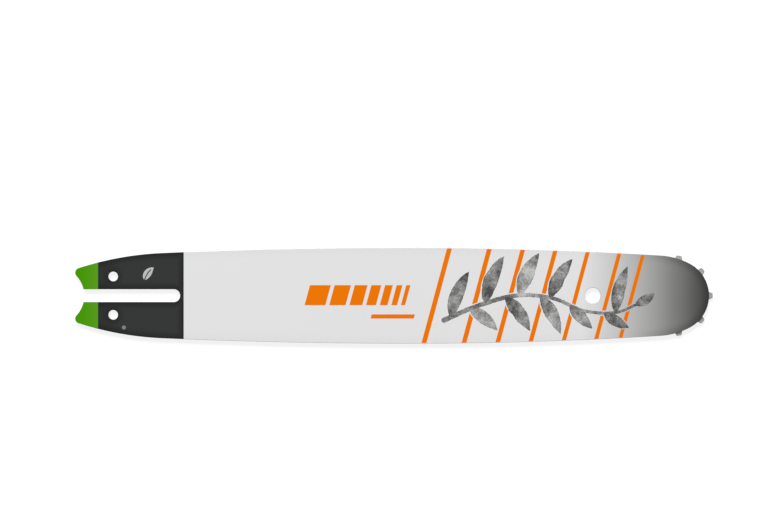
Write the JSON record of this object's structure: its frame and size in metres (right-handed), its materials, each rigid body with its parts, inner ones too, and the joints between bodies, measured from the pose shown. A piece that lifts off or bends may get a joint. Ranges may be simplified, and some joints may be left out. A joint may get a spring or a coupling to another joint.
{
  "type": "chainsaw guide bar",
  "caption": "Laminated chainsaw guide bar: long convex steel blade with a grooved edge, open stud slot and tensioner holes at the tail, a hanging hole and a free-turning sprocket nose.",
  "frame": {"origin": "middle of the underside: half way between the tail tips and the foremost sprocket tooth, on the bar's long axis", "axes": "+X along the bar from its tail to its nose, +Z out of the printed face of the bar, which lies flat"},
  "size_m": [0.3986, 0.06, 0.004],
  "materials": {
    "bar_paint": "satin",
    "core_steel": "satin",
    "sprocket_steel": "satin",
    "bearing_steel": "polished",
    "tail_black": "satin",
    "tail_green": "satin",
    "orange_ink": "satin",
    "grey_ink": "satin"
  },
  "bodies": {
    "bar": {"side_plate_front": "bar_paint", "side_plate_back": "bar_paint", "core_plate": "core_steel", "bearing_hub": "bearing_steel"},
    "sprocket": {"nose_sprocket": "sprocket_steel"},
    "roller_set": {"bearing_roller_01": "bearing_steel", "bearing_roller_02": "bearing_steel", "bearing_roller_03": "bearing_steel", "bearing_roller_04": "bearing_steel", "bearing_roller_05": "bearing_steel", "bearing_roller_06": "bearing_steel", "bearing_roller_07": "bearing_steel", "bearing_roller_08": "bearing_steel", "bearing_roller_09": "bearing_steel", "bearing_roller_10": "bearing_steel", "bearing_roller_11": "bearing_steel", "bearing_roller_12": "bearing_steel", "bearing_roller_13": "bearing_steel", "bearing_roller_14": "bearing_steel", "bearing_roller_15": "bearing_steel", "bearing_roller_16": "bearing_steel", "bearing_roller_17": "bearing_steel", "bearing_roller_18": "bearing_steel", "bearing_roller_19": "bearing_steel", "bearing_roller_20": "bearing_steel", "bearing_roller_21": "bearing_steel", "bearing_roller_22": "bearing_steel", "bearing_roller_23": "bearing_steel", "bearing_roller_24": "bearing_steel", "bearing_roller_25": "bearing_steel"}
  },
  "joints": [
    {"name": "nose_sprocket_spin", "type": "hinge", "parent": "bar", "child": "sprocket", "pos_m": [0.17392, 0, 0.002], "axis": [0, 0, 1], "continuous": true},
    {"name": "roller_orbit", "type": "hinge", "parent": "bar", "child": "roller_set", "pos_m": [0.17392, 0, 0.002], "axis": [0, 0, 1], "continuous": true}
  ],
  "couplings": [
    {"joint": "roller_orbit", "follows": "nose_sprocket_spin", "ratio": 0.5614}
  ]
}
